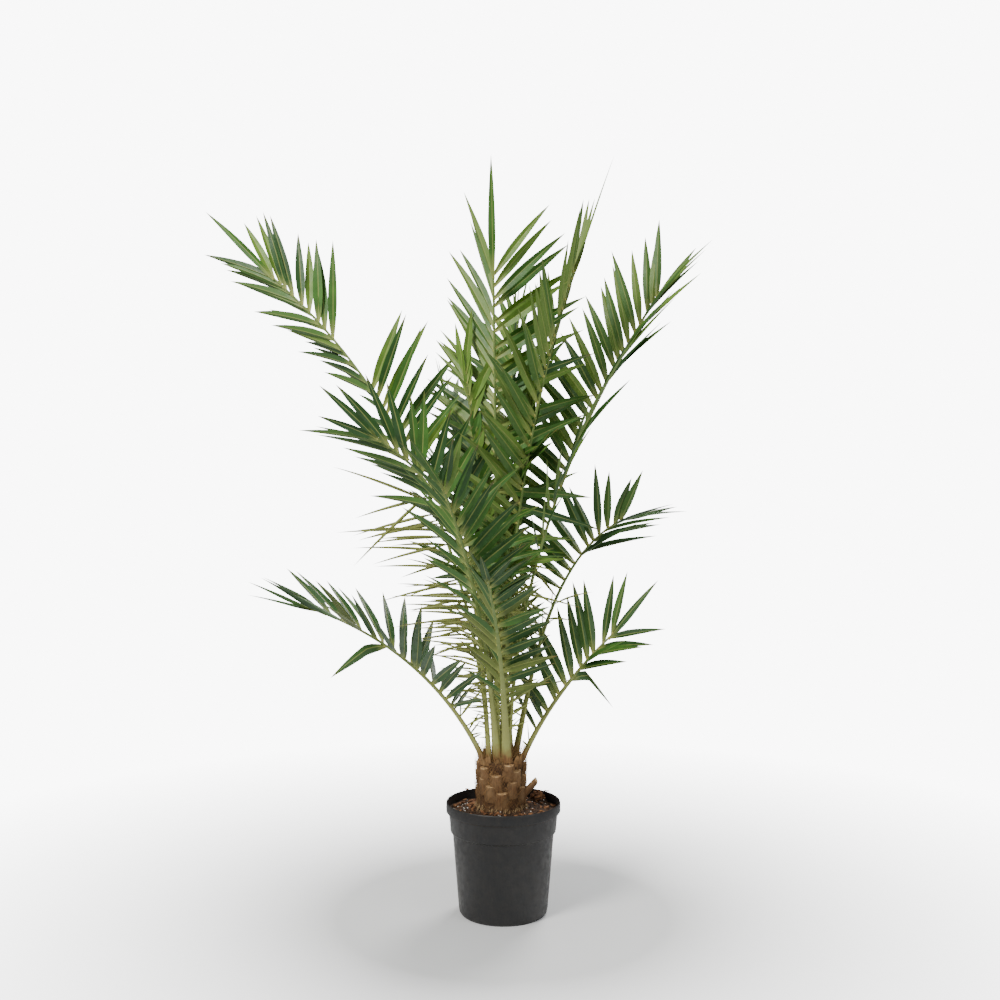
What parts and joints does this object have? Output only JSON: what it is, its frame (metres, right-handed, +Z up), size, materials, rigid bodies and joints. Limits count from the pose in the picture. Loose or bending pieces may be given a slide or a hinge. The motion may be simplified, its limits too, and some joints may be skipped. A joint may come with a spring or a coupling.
{
  "type": "potted canary island date palm",
  "caption": "Young feather palm with arching pinnate fronds on a short trunk of cut leaf bases, in a round nursery pot filled with soil.",
  "frame": {"origin": "middle of the pot's flat underside, on the surface the pot stands on", "axes": "+Z up through the pot and the plant, +X to the right and -Y towards the viewer in the picture's view"},
  "size_m": [0.9337, 0.7536, 1.3353],
  "materials": {
    "pot_plastic": "matte black moulded plastic",
    "potting_soil": "moist peat and bark crumbs",
    "trunk_bark": "brown fibre and cut leaf bases",
    "frond_leaf": "satin green leaf"
  },
  "bodies": {
    "root": {"pot": "pot_plastic", "soil": "potting_soil", "trunk": "trunk_bark", "frond_low_left": "frond_leaf", "frond_low_right": "frond_leaf", "frond_low_front": "frond_leaf", "frond_low_back": "frond_leaf", "frond_mid_right": "frond_leaf", "frond_mid_left": "frond_leaf", "frond_mid_front": "frond_leaf", "frond_mid_back": "frond_leaf", "frond_high_left": "frond_leaf", "frond_high_right": "frond_leaf", "frond_high_front": "frond_leaf", "frond_high_back": "frond_leaf", "frond_top_left": "frond_leaf", "frond_top_right": "frond_leaf", "frond_inner_left": "frond_leaf", "frond_inner_right": "frond_leaf"}
  },
  "joints": []
}
